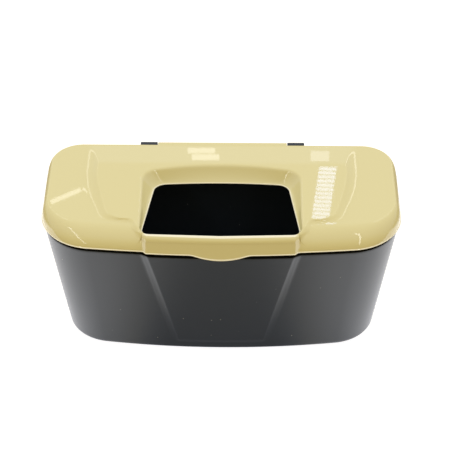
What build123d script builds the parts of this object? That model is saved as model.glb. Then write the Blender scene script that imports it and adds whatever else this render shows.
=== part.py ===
from build123d import *
import math
import os

# Tub, all sizes in millimetres. X is across, the front faces -Y, the base stands on Z = 0.
rim_height = 90.0
tub_wall = 2.0
tub_floor = 2.4
base_half_width = 102.6
rim_half_width = 116.2
base_back_y = 45.5
rim_back_y = 49.2
base_front_y = -45.5
rim_front_y = -54.6
base_bow = 9.5
rim_bow = 8.4
base_front_corner = 30.0
rim_front_corner = 34.4
base_back_corner = 21.0
rim_back_corner = 21.8
base_edge_radius = 3.0

# Raised panel in the middle of the front, widest at the rim and fading out above the base
panel_foot_z = 8.0
panel_foot_half = 27.0
panel_foot_sink = 0.2
panel_rim_half = 47.5
panel_rim_front_y = -58.2
panel_rim_bow = 1.6
panel_flank = 2.5
panel_depth = 12.0
panel_edge_radius = 7.0

# Seat round the rim: a step below the lid's edge, and a neck that stands up inside it
seat_depth = 2.4
seat_width = 1.5
neck_wall = 1.6
neck_root = 6.0

# Lid skirt and its flat lobes
lid_gap = 0.3
lid_overhang = 1.0
lid_wall = 2.0
lobe_rise = 11.0
front_lean = 2.0
side_lean = 0.4
round_height = 7.5
round_front = 12.5
round_side = 3.5
round_back = 2.0
roll_turns = (0, 30, 60, 90)

# Bonnet-like plateau with coved sides on top of the lobes
plateau_rise = 3.2
plateau_drop = 1.8
plateau_back_y = 23.0
plateau_end_y = 46.5
plateau_knee_y = 9.0
cove_height = 3.6
cove_angle = 37.0
cove_levels = (0.0, 0.3, 1.0)
foot_back_half = 91.8
foot_front_half = 77.5
foot_front_y = -36.4
foot_corner = 5.0
crest_back_half = 82.0
crest_front_half = 70.2
crest_front_y = -34.8
crest_corner = 14.0
knee_radius = 70.0

# Tongue that carries the plateau forward round the window (sizes at its foot, a little below the
# lobes), and its fascia
tongue_sink = 1.0
tongue_half = 58.0
tongue_flare = 5.0
tongue_root_set = 0.7
tongue_root_spare = 1.5
tongue_length = 8.4
tongue_draft = 1.0
tongue_cheek_radius = 7.0
tongue_cheek_in = 6.0
tongue_cheek_run = 5.0
tongue_side_angle = 48.0
tongue_foot = 5.0
fascia_overhang = 1.0
fascia_lean = 2.2
fascia_edge_radius = 3.0
nose_radius = 4.0

# Window: a funnel from its mouth in the plateau down to a tilted hole
hole_back_y = 11.2
hole_back_z = 96.0
hole_back_half = 43.5
hole_front_y = -50.0
hole_front_z = 98.5
hole_front_half = 50.4
hole_corner = 6.5
hole_front_corner = 4.5
hole_bow = 2.4
mouth_back_y = 21.4
mouth_back_half = 53.0
mouth_front_y = -52.3
mouth_front_half = 51.8
mouth_corner = 12.0
mouth_front_corner = 5.5
mouth_bow = 7.5
window_front_bow = 2.0
funnel_overshoot = 1.3
hole_land = 3.0

# Finger lip: the middle of the fascia drawn down in front of the rim
lip_half = 20.5
lip_drop = 3.3
lip_shoulder_half = 14.0
lip_shoulder_drop = 1.35
lip_clearance = 0.6
lip_margin = 0.5

# Locating ribs inside the rim
rib_clearance = 0.8
rib_gauge = 1.6
rib_depth = 4.0
rib_back_y = 36.0
rib_inner_half = 60.0
rib_root = 0.3

# Hinge along the back
hinge_y = 53.8
hinge_z = 95.4
ear_radius = 3.2
ear_centre_x = 49.9
ear_width = 11.4
ear_foot_z = 80.0
ear_rim_clearance = 0.5
roll_radius = 2.9
roll_web = 1.5
hinge_end_gap = 0.4
pin_radius = 1.2
pin_ear_clearance = 0.02
pin_roll_clearance = 0.06
pin_reach = 10.0
pin_bore_spare = 1.0

# Plug-in hanging hooks and their loops on the back wall
hook_inset = 38.2
hook_width = 16.0
hook_tongue_width = 12.0
hook_gauge = 2.6
hook_gap = 8.0
hook_top_z = 85.0
hook_leg_z = 60.0
hook_flare = 3.0
hook_flare_height = 6.0
hook_bend = 6.0
loop_low_z = 58.0
loop_height = 15.0
loop_side = 2.6
loop_gauge = 2.2
hook_clearance = 0.2
barb_step = 1.2
barb_height = 3.5

# Reach round a corner when it is picked by its place, and a size well beyond the whole bin
pick_reach = 1.0
beyond = 500.0

lid_low_z = rim_height + lid_gap
lobe_z = rim_height + lobe_rise


def blend(low, high, share):
    return low + (high - low) * share


def plan_outline(half, back, front, bow, front_corner, back_corner):
    """Plan of the bin: bowed front, straight sides and back, rounded corners."""
    shoulder = front + bow
    front_edge = ThreePointArc((-half, shoulder), (0, front), (half, shoulder))
    other_edges = Polyline((half, shoulder), (half, back), (-half, back), (-half, shoulder))
    outline = make_face([front_edge, other_edges])
    outline = fillet(outline.vertices().group_by(Axis.Y)[-1], back_corner)
    return fillet(outline.vertices().group_by(Axis.Y)[0], front_corner)


def tub_section(z, inset):
    share = z / rim_height
    outline = plan_outline(
        blend(base_half_width, rim_half_width, share) - inset,
        blend(base_back_y, rim_back_y, share) - inset,
        blend(base_front_y, rim_front_y, share) + inset,
        blend(base_bow, rim_bow, share),
        blend(base_front_corner, rim_front_corner, share) - inset,
        blend(base_back_corner, rim_back_corner, share) - inset,
    )
    return Pos(0, 0, z) * outline


def panel_section(half, front, bow, edge_radius):
    """Plan of a front panel: bowed face, short sloping flanks, back deep inside the wall."""
    flank_half = half + panel_flank
    flank_y = front + bow + panel_flank
    face_edge = ThreePointArc((-half, front + bow), (0, front), (half, front + bow))
    other_edges = Polyline(
        (half, front + bow),
        (flank_half, flank_y),
        (flank_half, front + panel_depth),
        (-flank_half, front + panel_depth),
        (-flank_half, flank_y),
        (-half, front + bow),
    )
    outline = make_face([face_edge, other_edges])
    return fillet(outline.vertices().group_by(Axis.Y)[0], edge_radius)


def tub_panel(inset):
    foot_share = panel_foot_z / rim_height
    foot_front = blend(base_front_y, rim_front_y, foot_share) + panel_foot_sink + inset
    foot_bow = blend(base_bow, rim_bow, foot_share) * (panel_foot_half / base_half_width) ** 2
    foot = panel_section(panel_foot_half - inset, foot_front, foot_bow, panel_edge_radius)
    rim_half = panel_rim_half - inset
    rim = panel_section(rim_half, panel_rim_front_y + inset, panel_rim_bow, panel_edge_radius)
    return loft([Pos(0, 0, panel_foot_z) * foot, Pos(0, 0, rim_height) * rim], ruled=True)


def tub_form(inset):
    """Solid inside the tub's outside face, drawn in by an inset, with the panel but a plain base."""
    form = loft([tub_section(tub_floor, inset), tub_section(rim_height, inset)], ruled=True)
    return form + tub_panel(inset)


def rim_slab(depth):
    """Wide slab from a depth below the rim up to it."""
    return Pos(0, 0, rim_height - depth / 2) * Box(beyond, beyond, depth)


def tub_body():
    outer = loft([tub_section(0, 0), tub_section(rim_height, 0)], ruled=True)
    base_edges = outer.faces().sort_by(Axis.Z)[0].edges()
    outer = fillet(base_edges, base_edge_radius) + tub_panel(0)
    neck_form = tub_form(seat_width)
    neck = (neck_form - tub_form(seat_width + neck_wall)) & rim_slab(neck_root)
    seat = rim_slab(seat_depth) - neck_form
    return outer - tub_form(tub_wall) - seat + neck


def hinge_ear(side):
    """Ear behind the back wall: a round knuckle on a gusset that runs down the wall."""
    front_y = hinge_y - ear_radius
    wall_low_y = blend(base_back_y, rim_back_y, ear_foot_z / rim_height)
    shelf_z = rim_height - ear_rim_clearance
    gusset = Plane.YZ * make_face(Polyline(
        (front_y, hinge_z),
        (front_y, shelf_z),
        (rim_back_y - tub_wall / 2, shelf_z),
        (wall_low_y - tub_wall / 2, ear_foot_z),
        (wall_low_y, ear_foot_z),
        (hinge_y + ear_radius, hinge_z),
        close=True,
    ))
    knuckle = Plane.YZ * Pos(hinge_y, hinge_z) * Circle(ear_radius)
    bore = Plane.YZ * Pos(hinge_y, hinge_z) * Circle(pin_radius + pin_ear_clearance)
    ear = extrude(gusset + knuckle, ear_width / 2, both=True)
    ear -= extrude(bore, ear_width, both=True)
    return Pos(side * ear_centre_x, 0, 0) * ear


def hook_wall_y():
    """Back face of the sloping wall at the top of a hook, where the hook comes nearest to it."""
    return blend(base_back_y, rim_back_y, hook_top_z / rim_height)


def hook_loop(side):
    """Belt loop on the back wall that a hook's tongue slides through."""
    slot_width = hook_tongue_width + 2 * hook_clearance
    slot_depth = hook_gauge + 2 * hook_clearance
    wall_y = hook_wall_y()
    loop_depth = slot_depth + loop_gauge
    centre_z = loop_low_z + loop_height / 2
    block = Box(slot_width + 2 * loop_side, loop_depth + tub_wall, loop_height)
    block = Pos(0, wall_y + (loop_depth - tub_wall) / 2, centre_z) * block
    outer_edges = block.faces().sort_by(Axis.Y)[-1].edges().filter_by(Axis.Z)
    block = fillet(outer_edges, loop_side / 2)
    slot = Pos(0, wall_y + slot_depth / 2, centre_z) * Box(slot_width, slot_depth, beyond)
    return Pos(side * (rim_half_width - hook_inset), 0, 0) * (block - slot)


def bin_tub():
    tub = tub_body()
    for side in (-1, 1):
        tub += hinge_ear(side)
        tub += hook_loop(side)
    return tub


def lid_section(z, front_in, side_in, back_in):
    """Plan of the lid drawn in from its lower edge by separate amounts at front, sides and back."""
    outline = plan_outline(
        rim_half_width + lid_overhang - side_in,
        rim_back_y + lid_overhang - back_in,
        rim_front_y - lid_overhang + front_in,
        rim_bow,
        rim_front_corner + lid_overhang - (front_in + side_in) / 2,
        rim_back_corner + lid_overhang - (back_in + side_in) / 2,
    )
    return Pos(0, 0, z) * outline


def lid_skirt(inset):
    """Skirt that leans in a little and rolls over into the flat lobes."""
    shoulder_z = lobe_z - round_height
    low = lid_section(lid_low_z, inset, inset, inset)
    rolled = []
    for turn in roll_turns:
        inward = 1 - math.cos(math.radians(turn))
        up = math.sin(math.radians(turn))
        rolled.append(lid_section(
            shoulder_z + round_height * up,
            front_lean + round_front * inward + inset,
            side_lean + round_side * inward + inset,
            round_back * inward + inset,
        ))
    return loft([low, rolled[0]], ruled=True) + loft(rolled)


def plateau_outline(share, z):
    """Plan of the plateau at a share of the way in from its foot to its crest."""
    back_half = blend(foot_back_half, crest_back_half, share)
    front_half = blend(foot_front_half, crest_front_half, share)
    front_y = blend(foot_front_y, crest_front_y, share)
    outline = make_face(Polyline(
        (-back_half, plateau_end_y),
        (-back_half, plateau_knee_y),
        (-front_half, front_y),
        (front_half, front_y),
        (back_half, plateau_knee_y),
        (back_half, plateau_end_y),
        close=True,
    ))
    corner = blend(foot_corner, crest_corner, share)
    outline = fillet(outline.vertices().group_by(Axis.Y)[0], corner)
    knees = outline.vertices().filter_by_position(
        Axis.Y, plateau_knee_y - pick_reach, plateau_knee_y + pick_reach
    )
    outline = fillet(knees, knee_radius)
    return Pos(0, 0, z) * outline


def plateau_top_z(y):
    """Height of the plateau's top: it falls a little to the front and more to the back edge."""
    crest_z = lobe_z + plateau_rise
    if y > plateau_back_y:
        return crest_z - plateau_rise * (y - plateau_back_y) / (plateau_end_y - plateau_back_y)
    return crest_z - plateau_drop * (plateau_back_y - y) / (plateau_back_y - crest_front_y)


def under_plateau():
    """Everything under the plateau's top, seen from the side, as a wide solid."""
    end_y = panel_rim_front_y - panel_depth
    under = Plane.YZ * make_face(Polyline(
        (rim_back_y, lid_low_z),
        (rim_back_y, plateau_top_z(rim_back_y)),
        (plateau_back_y, plateau_top_z(plateau_back_y)),
        (end_y, plateau_top_z(end_y)),
        (end_y, lid_low_z),
        close=True,
    ))
    return extrude(under, rim_half_width, both=True)


def plateau_cove():
    """Coved flanks of the plateau, lofted from its foot up past its crest."""
    full = 1 - math.cos(math.radians(cove_angle))
    reach = math.sin(math.radians(cove_angle))
    sections = []
    for level in cove_levels:
        across = math.sqrt(1 - (1 - full * level) ** 2) / reach
        sections.append(plateau_outline(across, lobe_z + cove_height * level))
    return loft(sections)


def tongue():
    """Plateau carried forward round the window, flaring into the plateau's front edge, and its foot."""
    root_half = tongue_half + tongue_flare + tongue_root_spare
    root_y = foot_front_y - tongue_root_set
    cheek_half = tongue_half - tongue_draft
    cheek_y = root_y - tongue_length
    end_half = cheek_half - tongue_cheek_in
    end_y = cheek_y - tongue_cheek_run
    plan = make_face(Polyline(
        (-end_half, end_y),
        (end_half, end_y),
        (cheek_half, cheek_y),
        (tongue_half, root_y),
        (root_half, root_y),
        (root_half, 0),
        (-root_half, 0),
        (-root_half, root_y),
        (-tongue_half, root_y),
        (-cheek_half, cheek_y),
        close=True,
    ))
    plan = fillet(plan.vertices().group_by(Axis.Y)[1], tongue_cheek_radius)
    inner_reach = tongue_half + pick_reach
    inner = plan.vertices().filter_by_position(Axis.X, -inner_reach, inner_reach)
    crooks = inner.filter_by_position(Axis.Y, root_y - pick_reach, root_y + pick_reach)
    plan = fillet(crooks, tongue_flare)
    plan = Pos(0, 0, lobe_z - tongue_sink) * plan
    return extrude(plan, plateau_rise + tongue_sink, taper=tongue_side_angle), extrude(plan, -tongue_foot)


def fascia_panel():
    """Raised middle of the lid's front, standing over the tub's panel, with a rounded nose."""
    low_y = panel_rim_front_y - fascia_overhang
    high_y = low_y + fascia_lean
    nose_z = plateau_top_z(high_y) - nose_radius
    lip_low_z = lid_low_z - lip_drop - lip_margin
    lip_low_y = low_y - fascia_lean * (lid_low_z - lip_low_z) / (nose_z - lid_low_z)
    levels = [(lip_low_y, lip_low_z)]
    for turn in roll_turns:
        back = nose_radius * (1 - math.cos(math.radians(turn)))
        up = nose_radius * math.sin(math.radians(turn))
        levels.append((high_y + back, nose_z + up))
    sections = []
    for front_y, z in levels:
        outline = panel_section(panel_rim_half, front_y, panel_rim_bow, fascia_edge_radius)
        sections.append(Pos(0, 0, z) * outline)
    return loft(sections, ruled=True)


def lip_block(inner_y):
    """Finger lip's outline on the fascia, as a block from an inner face forwards."""
    lip_edge = Spline(
        (-lip_half, lid_low_z),
        (-lip_shoulder_half, lid_low_z - lip_shoulder_drop),
        (0, lid_low_z - lip_drop),
        (lip_shoulder_half, lid_low_z - lip_shoulder_drop),
        (lip_half, lid_low_z),
        tangents=((1, 0), (1, 0)),
    )
    top_edge = Polyline(
        (lip_half, lid_low_z),
        (lip_half, lid_low_z + lip_margin),
        (-lip_half, lid_low_z + lip_margin),
        (-lip_half, lid_low_z),
    )
    return extrude(Plane.XZ.offset(-inner_y) * make_face([lip_edge, top_edge]), beyond)


def under_lid():
    """Space below the lid's lower edge, all but the finger lip, which is thicker beside the seat."""
    root_y = panel_rim_front_y + seat_width - lip_clearance
    root_slab = Pos(0, 0, lip_clearance) * rim_slab(seat_depth)
    lip = lip_block(panel_rim_front_y - lip_clearance) + (lip_block(root_y) & root_slab)
    return Pos(0, 0, lid_low_z - beyond / 2) * Box(beyond, beyond, beyond) - lip


def window_section(share, grow):
    """Outline of the window funnel, from the hole (share 0) to its mouth in the plateau (share 1)."""
    back_y = blend(hole_back_y, mouth_back_y, share)
    front_y = blend(hole_front_y, mouth_front_y, share)
    back_half = blend(hole_back_half, mouth_back_half, share) + grow
    front_half = blend(hole_front_half, mouth_front_half, share) + grow
    corner = blend(hole_corner, mouth_corner, share) + grow
    front_corner = blend(hole_front_corner, mouth_front_corner, share) + grow
    back_z = blend(hole_back_z, lobe_z + plateau_rise, share)
    front_z = blend(hole_front_z, lobe_z + plateau_rise - plateau_drop, share)
    tilt = math.atan2(back_z - front_z, back_y - front_y)
    middle = Vector(0, (back_y + front_y) / 2, (back_z + front_z) / 2)
    half_length = math.hypot(back_y - front_y, back_z - front_z) / 2 + grow
    back_end = half_length - blend(hole_bow, mouth_bow, share)
    front_end = window_front_bow - half_length
    outline = make_face([
        ThreePointArc((-back_half, back_end), (0, half_length), (back_half, back_end)),
        Line((back_half, back_end), (front_half, front_end)),
        ThreePointArc((front_half, front_end), (0, -half_length), (-front_half, front_end)),
        Line((-front_half, front_end), (-back_half, back_end)),
    ])
    outline = fillet(outline.vertices().group_by(Axis.Y)[-1], corner)
    outline = fillet(outline.vertices().group_by(Axis.Y)[0], front_corner)
    normal = Vector(0, -math.sin(tilt), math.cos(tilt))
    return Plane(origin=middle, x_dir=(1, 0, 0), z_dir=normal) * outline


def window_funnel(grow):
    return loft([window_section(0, grow), window_section(funnel_overshoot, grow)], ruled=True)


def lid_shell():
    """Constant-wall moulding: skirt, lobes, plateau, tongue and fascia, opened by the window funnel."""
    tongue_top, tongue_base = tongue()
    raised = (plateau_cove() + tongue_top) & under_plateau()
    fascia = fascia_panel()
    hollow = Pos(0, 0, -lid_wall) * lid_skirt(lid_wall) + Pos(0, lid_wall, -lid_wall) * (raised + fascia)
    hollow -= window_funnel(lid_wall)
    hole = extrude(window_section(0, 0), -hole_land)
    outside = lid_skirt(0) + tongue_base + raised + fascia
    return outside - under_lid() - hollow - window_funnel(0) - hole


def hinge_roll():
    """Rounded back edge of the lid between the ears, bored at both ends for the pins."""
    half = ear_centre_x - ear_width / 2 - hinge_end_gap
    root_y = rim_back_y + lid_overhang - lid_wall / 2
    web = Plane.YZ * make_face(Polyline(
        (root_y, hinge_z - roll_web),
        (hinge_y, hinge_z - roll_web),
        (hinge_y, hinge_z + roll_radius),
        (root_y, hinge_z + roll_radius),
        close=True,
    ))
    section = web + Plane.YZ * Pos(hinge_y, hinge_z) * Circle(roll_radius)
    roll = extrude(section, half, both=True)
    bore_depth = pin_reach + pin_bore_spare
    for side in (-1, 1):
        bore = Rot(0, 90, 0) * Cylinder(pin_radius + pin_roll_clearance, bore_depth)
        roll -= Pos(side * (half - bore_depth / 2), hinge_y, hinge_z) * bore
    return roll


def locating_ribs():
    """Ribs under the lobes that drop inside the tub's rim at the sides and front corners."""
    low_z = rim_height - rib_depth
    high_z = lobe_z - lid_wall + rib_root
    outer_inset = seat_width + neck_wall + rib_clearance
    ring = tub_section(low_z, outer_inset) - tub_section(low_z, outer_inset + rib_gauge)
    ribs = extrude(ring, high_z - low_z)
    middle = Box(2 * rib_inner_half, beyond, beyond)
    back = Pos(0, rib_back_y + beyond / 2, 0) * Box(beyond, beyond, beyond)
    over_lid = Pos(0, 0, lid_low_z + beyond / 2) * Box(beyond, beyond, beyond) - lid_skirt(lid_wall / 2)
    return ribs - middle - back - over_lid


def lid():
    return lid_shell() + hinge_roll() + locating_ribs()


def hinge_pin(side):
    length = ear_width + hinge_end_gap + pin_reach
    outer_x = ear_centre_x + ear_width / 2
    middle = side * (outer_x - length / 2)
    return Pos(middle, hinge_y, hinge_z) * Rot(0, 90, 0) * Cylinder(pin_radius, length)


def hanging_hook(side):
    """Moulded J hook: a barbed tongue for the loop, shoulders, and a leg that drops behind a panel."""
    leg_y = hook_wall_y() + hook_clearance + hook_gauge / 2
    shoulder_z = loop_low_z + loop_height + hook_clearance
    far_y = hook_wall_y() + 2 * hook_clearance + hook_gauge + loop_gauge + hook_gap + hook_gauge / 2
    route = FilletPolyline(
        (leg_y, shoulder_z),
        (leg_y, hook_top_z - hook_gauge / 2),
        (far_y, hook_top_z - hook_gauge / 2),
        (far_y, hook_leg_z + hook_flare_height),
        (far_y + hook_flare, hook_leg_z),
        radius=hook_bend,
    )
    arm = extrude(Plane.YZ * trace(route, hook_gauge), hook_width / 2, both=True)
    barb_z = loop_low_z - hook_clearance
    tongue_low_z = barb_z - barb_height
    tongue_height = shoulder_z - tongue_low_z
    strip = Box(hook_tongue_width, hook_gauge, tongue_height)
    strip = Pos(0, leg_y, tongue_low_z + tongue_height / 2) * strip
    catch_y = leg_y + hook_gauge / 2
    catch = Plane.YZ * make_face(Polyline(
        (catch_y, barb_z),
        (catch_y + barb_step, barb_z),
        (catch_y, tongue_low_z),
        close=True,
    ))
    catch = extrude(catch, hook_tongue_width / 2, both=True)
    return Pos(side * (rim_half_width - hook_inset), 0, 0) * (arm + strip + catch)


def main():
    os.makedirs("parts", exist_ok=True)
    pieces = {"bin_tub": bin_tub(), "lid": lid()}
    for name, side in (("left", -1), ("right", 1)):
        pieces["hinge_pin_" + name] = hinge_pin(side)
        pieces["hanging_hook_" + name] = hanging_hook(side)
    for node, piece in pieces.items():
        export_step(piece, "parts/" + node + ".step")


main()
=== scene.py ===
import bpy
import bmesh
import math
import numpy as np
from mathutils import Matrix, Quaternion, Vector


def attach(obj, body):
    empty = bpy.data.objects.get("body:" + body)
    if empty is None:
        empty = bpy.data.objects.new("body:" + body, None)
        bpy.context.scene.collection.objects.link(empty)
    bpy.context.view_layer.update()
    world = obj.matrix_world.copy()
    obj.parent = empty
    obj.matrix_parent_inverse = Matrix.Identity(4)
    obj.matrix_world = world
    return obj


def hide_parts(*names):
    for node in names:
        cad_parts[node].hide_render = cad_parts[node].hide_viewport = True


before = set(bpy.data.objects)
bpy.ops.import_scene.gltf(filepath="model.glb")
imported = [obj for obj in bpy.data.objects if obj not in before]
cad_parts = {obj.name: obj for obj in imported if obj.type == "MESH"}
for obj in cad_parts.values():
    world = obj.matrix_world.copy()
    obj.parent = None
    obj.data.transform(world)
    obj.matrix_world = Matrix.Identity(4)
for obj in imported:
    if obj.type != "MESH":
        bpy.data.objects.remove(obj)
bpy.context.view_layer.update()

MM = 0.001

# Least divisor, reach of a ray that meets nothing, and a place beyond all edges of the bin
tiny = 1e-9
never = 1e9
beyond = 200.0

# Sizes are in millimetres and angles in degrees, with Y to the back and Z up from the floor

# Tub: its plan at the rim and at the base
rim_height = 90.0
rim_half_width = 116.2
rim_back_y = 49.2
rim_front_y = -54.6
rim_bow = 8.4
rim_front_corner = 34.4
rim_back_corner = 21.8
base_half_width = 102.6
base_back_y = 45.5
base_front_y = -45.5
base_bow = 9.5
base_front_corner = 30.0
base_back_corner = 21.0

# Tub: its wall and floor, and the seat and neck that the lid closes over
tub_wall = 2.0
tub_floor = 2.4
base_edge_radius = 3.0
floor_radius = 2.0
seat_z = 87.1
seat_width = 1.5
seat_round = 0.5
seat_round_middle = 0.15
neck_inner = 3.1
neck_root_z = 84.0
neck_step = 1.0
neck_break = 0.3

# Raised panel on the tub's front, and how far forward a ray points that can meet it
panel_foot_z = 8.0
panel_foot_half = 27.0
panel_foot_sink = 0.2
panel_rim_half = 47.5
panel_rim_front_y = -57.5
panel_rim_bow = 1.6
panel_flank = 2.5
panel_edge_radius = 7.0
panel_blend = 4.0
panel_facing = 0.3

# Lid: its lower edge and walls, and how far its sides lean and roll in
lid_low_z = 90.3
lid_overhang = 1.0
lid_front_reach = 0.5
lid_wall = 2.0
lobe_z = 101.0
front_lean = 2.0
side_lean = 0.4
round_front = 12.5
round_side = 3.5
round_back = 2.0

# Rounded hem along the lid's lower edge: how far up the roll each ring lies, and how far in
hem_rises = (0.0, 0.008, 0.02, 0.035, 0.055)
hem_insets = (0.25, 0.06, 0.0, 0.12, 0.3)

# Handles of the curve that rolls from the hem into the lobes
hem_handle_z = 4.5
hem_handle_front = 0.8
hem_handle_side = 0.2
lobe_handle_front = 7.0
lobe_handle_side = 1.9
lobe_handle_back = 0.8

# Plateau of the lid's top, which rises from the flat lobes through a hollow cove
plateau_rise = 3.2
plateau_drop = 1.8
plateau_back_y = 23.0
plateau_end_y = 46.5
plateau_knee_y = 9.0
plateau_ridge_soft = 0.35
plateau_edge_soft = 0.6
cove_height = 3.6
cove_angle = 37.0

# Outlines of the cove's foot and crest
foot_front_y = -36.4
foot_front_half = 77.5
foot_side = (88.8, -6.0)
foot_back_half = 91.8
foot_back_y = 20.0
foot_radii = (9.0, 80.0, 80.0)
crest_front_y = -34.8
crest_front_half = 70.2
crest_back_half = 82.0
crest_radii = (14.0, 70.0)

# Tongue that carries the window's frame forward into the fascia, and its cheeks, steeper towards the front
tongue_outline = [(47.0, -50.5), (56.0, -44.5), (58.0, -37.1), (64.5, -37.1), (64.5, 0.0)]
tongue_radii = (4.0, 9.0, 5.0, 0.5)
tongue_base_z = 100.0
tongue_side_angle = 48.0
tongue_soft = 2.4
tongue_soft_loss = 1.8
cheek_steeper = 1.4
cheek_y = (-38.0, -48.0)

# Fascia over the front panel, the share of the roll that is its face, and its blend into the skirt
fascia_low_y = -58.4
fascia_high_y = -56.2
fascia_edge_radius = 3.0
fascia_face_share = 0.6
fascia_blend = 2.2
fascia_soft = 0.5
nose_radius = 4.0

# Finger lip that hangs from the middle of the fascia
lip_half = 20.5
lip_drop = 3.3
lip_shoulder_half = 14.0
lip_shoulder_drop = 1.35
lip_shoulder_slope = -0.279
lip_root_z = 88.3
lip_root_y = -56.6
lip_inner_y = -58.1
lip_margin = 0.1

# Window: the hole at the bottom of its funnel and the mouth at the top
hole_back_y = 12.2
hole_back_z = 96.0
hole_back_half = 43.8
hole_front_y = -50.0
hole_front_z = 99.8
hole_front_half = 50.9
hole_corner = 8.5
hole_front_corner = 5.5
hole_bow = 2.4
mouth_back_y = 21.4
mouth_back_half = 53.0
mouth_front_y = -52.3
mouth_front_half = 52.5
mouth_corner = 12.0
mouth_front_corner = 6.5
mouth_bow = 7.5
window_front_bow = 2.0
funnel_bend = 1.3

# Rounding of the window's mouth and hole, and the least land left beside the mouth
mouth_round = 1.3
mouth_round_top_share = 0.3
mouth_round_wall_share = 0.4
mouth_land = 1.5
hole_round = 0.6
hole_bends = (25, 50, 75, 90)

# Painted highlight along the window's front rim: how many rings it takes up, and where it fades in along Y
# and X
highlight_rim_rings = 24
highlight_rim_y = (-42.0, -47.0)
highlight_rim_x = (50.0, 47.0)

# Hinge: the lid's roll with its bores, and the tub's ears
hinge_y = 53.8
hinge_z = 95.4
roll_half = 43.8
roll_radius = 2.9
roll_web = 1.5
roll_root_y = 49.2
roll_break = 0.35
roll_break_middle = 0.1
bore_radius = 1.26
bore_depth = 11.0
bore_chamfer = 0.2
ear_radius = 3.2
ear_bore = 1.22
ear_inner_x = 44.2
ear_outer_x = 55.6
ear_foot_z = 80.0
ear_shelf_z = 89.5
ear_break = 0.3
ear_overlap = 1.0
gusset_inset = 0.05

# Belt loops on the back wall
hook_x = 78.0
loop_low_z = 58.0
loop_high_z = 73.0
loop_wall_y = 48.99
loop_half = 8.8
loop_sink = 1.9
loop_depth = 5.2
loop_corner = 1.3
loop_break = 0.3
slot_half = 6.2
slot_depth = 3.0
slot_corner = 0.15

# Locating ribs under the lobes
rib_low_z = 86.0
rib_high_z = 99.3
rib_outer_inset = 3.9
rib_gauge = 1.6
rib_inner_half = 60.0
rib_back_y = 36.0

# Pins and hooks: broken edges and the gap that closes at a seam
pin_break = 0.15
hook_break = 0.35
seam_gap = 0.001

# Angles up to which faces are joined as one flat, or shaded as one smooth face
flat_angle = 1.0
sharp_angle = 40.0

# Middle of the lid, from which its rings are drawn
ray_y = -15.0

# Spacing of the rays along the lid's edge, and the zones in X and Y where they lie closer:
# finger lip, front corners, back corners and the ends of the front panel
lid_spacing = 1.7
lid_zones = [
    ((0, 24), (-beyond, -30), 1.0),
    ((78, beyond), (-beyond, -10), 0.9),
    ((78, beyond), (22, beyond), 0.9),
    ((40, 66), (-beyond, 0), 0.4),
]

# The same along the tub's rim: front corners, back corners and the ends of the front panel
tub_spacing = 2.4
tub_zones = [
    ((74, beyond), (-beyond, -10), 1.2),
    ((74, beyond), (20, beyond), 1.2),
    ((24, 60), (-beyond, 0), 0.6),
]

# Numbers of rings: over the lid's top and down its window, outside and inside, and up and down the tub
outer_top_rings = 64
outer_window_rings = 10
inner_top_rings = 18
inner_window_rings = 5
base_edge_rings = 9
outer_wall_rings = 60
groove_rings = 5
inner_wall_rings = 24
floor_edge_rings = 6

# Numbers of points along curves
turn_points = 24001
corner_points = 13
back_corner_points = 17
back_bow_points = 24
straight_points = 40
roll_points = 101
funnel_points = 41
top_line_points = 321
roll_round_points = 64
ear_round_points = 48
gusset_points = 13
box_corner_points = 7
rib_line_points = 4001
rib_points = 90

# Patterns in the materials. The moulded grain and the drawn lines are finer on the real ones, and are drawn
# coarser to show. Specks of dust lie in a share of cells, and are sized by their share of a cell
wave_length = 22.0
wave_depth = 0.6
grain_size = 0.45
grain_depth = 0.03
dust_spacing = 6.0
clean_share = 0.8
speck_core = 0.03
speck_edge = 0.06
drawn_line_width = 0.15
drawn_line_stretch = 0.02

# Paper floor: where it glows round the bin in what the polish mirrors, and how brightly
glow_middle_y = -55.0
glow_full_y = 122.0
glow_end_y = 208.0
glow_middle_x = 30.0
glow_beside_x = 110.0
glow_middle = 0.42
glow_beside = 2.35
paper_white = 0.92

# Colour sockets of a Mix node
COLOUR_A = 6
COLOUR_B = 7
COLOUR_OUT = 2


def smooth_max(a, b, soft):
    """Larger of two heights, with the crease between them rounded."""
    h = np.clip(0.5 + 0.5 * (a - b) / soft, 0, 1)
    return b + (a - b) * h + soft * h * (1 - h)


def smooth_min(a, b, soft):
    """Smaller of two heights, with the crease between them rounded."""
    return -smooth_max(-a, -b, soft)


def smooth_step(x, start, end):
    """Rises gently from 0 at the start to 1 at the end."""
    t = np.clip((x - start) / (end - start), 0, 1)
    return t * t * (3 - 2 * t)


def between(low, high, share):
    """Value at a share of the way from one to the other."""
    return low + (high - low) * share


def curve_between(low, high, low_slope, high_slope, t):
    """Curve between two values that leaves and arrives at given slopes."""
    return (low * (2 * t ** 3 - 3 * t ** 2 + 1) + high * (3 * t ** 2 - 2 * t ** 3)
            + low_slope * (t ** 3 - 2 * t ** 2 + t) + high_slope * (t ** 3 - t ** 2))


def turn_to(x, y):
    """Turn of the ray through a point, from 0 at the front."""
    return np.arctan2(x, ray_y - y)


def reach_of(points):
    """How far points lie from the lid's middle, seen from above."""
    return np.hypot(points[..., 0], points[..., 1] - ray_y)


def plan_points(turn, reach, z):
    """Points at given reaches and heights along rays."""
    return np.stack([np.sin(turn) * reach, ray_y - np.cos(turn) * reach, z + 0 * reach], axis=-1)


def circle_reach(dx, dy, cx, cy, radius):
    """How far a ray from the lid's middle goes to the far side of a circle."""
    along = dx * cx + dy * (cy - ray_y)
    across = cx ** 2 + (cy - ray_y) ** 2 - along ** 2
    return along + np.sqrt(np.maximum(radius ** 2 - across, 0))


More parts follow.
